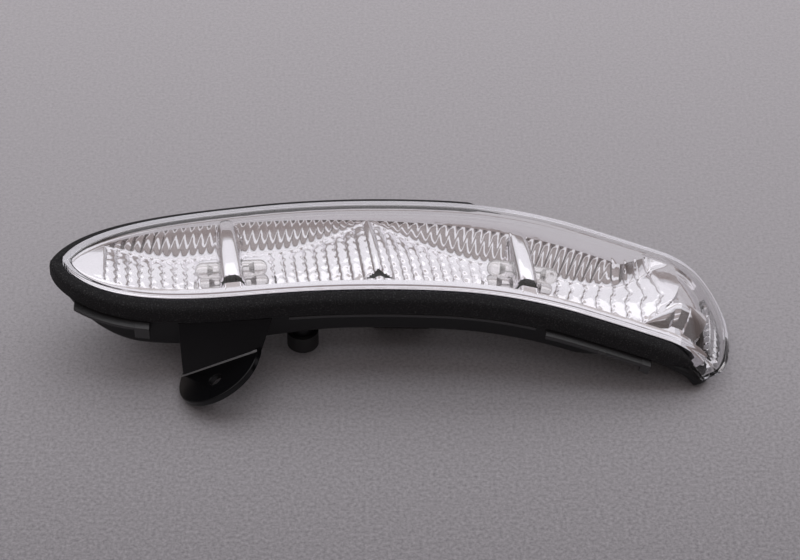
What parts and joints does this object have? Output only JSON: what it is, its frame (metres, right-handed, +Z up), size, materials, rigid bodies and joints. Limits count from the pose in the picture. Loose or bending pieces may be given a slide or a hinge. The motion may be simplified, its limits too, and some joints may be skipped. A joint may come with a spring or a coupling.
{
  "type": "vehicle door-mirror indicator lamp",
  "caption": "Long bent leaf-shaped indicator lamp for a door mirror: clear lens, fluted bright reflector, foam gasket, black housing with a screw bracket.",
  "frame": {"origin": "the middle of the lamp's box, on the table that it rests on", "axes": "+X runs along the lamp from its pointed tip to the end that wraps round the mirror, +Z is up with the lens facing up as it lies on a table, and the screw bracket hangs on the -Y side"},
  "size_m": [0.2105, 0.0697, 0.0361],
  "materials": {
    "housing": "black moulded plastic with a soft sheen, glossier on the bracket",
    "lens": "clear moulded plastic, polished, water-clear",
    "foam": "black closed-cell foam with a fine grain",
    "reflector": "plastic with a bright vacuum-metallised mirror coat",
    "prism": "clear moulded plastic with a toothed face",
    "led": "water-clear epoxy",
    "leads": "bright tinned wire",
    "board": "green solder mask over glass-fibre laminate",
    "screws": "zinc-plated steel",
    "resistors": "black chip bodies",
    "diode": "black moulded body",
    "capacitor": "drawn aluminium can",
    "connector": "black glass-filled plastic",
    "terminals": "tin-plated brass",
    "vent": "black rubber"
  },
  "bodies": {
    "root": {"housing": "housing", "lens": "lens", "gasket": "foam", "reflector": "reflector", "end_prism": "prism", "led_1": "led", "led_2": "led", "led_3": "led", "led_4": "led", "led_leads_1": "leads", "led_leads_2": "leads", "led_leads_3": "leads", "led_leads_4": "leads", "circuit_board": "board", "board_screws": "screws", "resistors": "resistors", "diode": "diode", "capacitor": "capacitor", "connector_header": "connector", "terminal_1": "terminals", "terminal_2": "terminals", "vent_cap": "vent"}
  },
  "joints": []
}
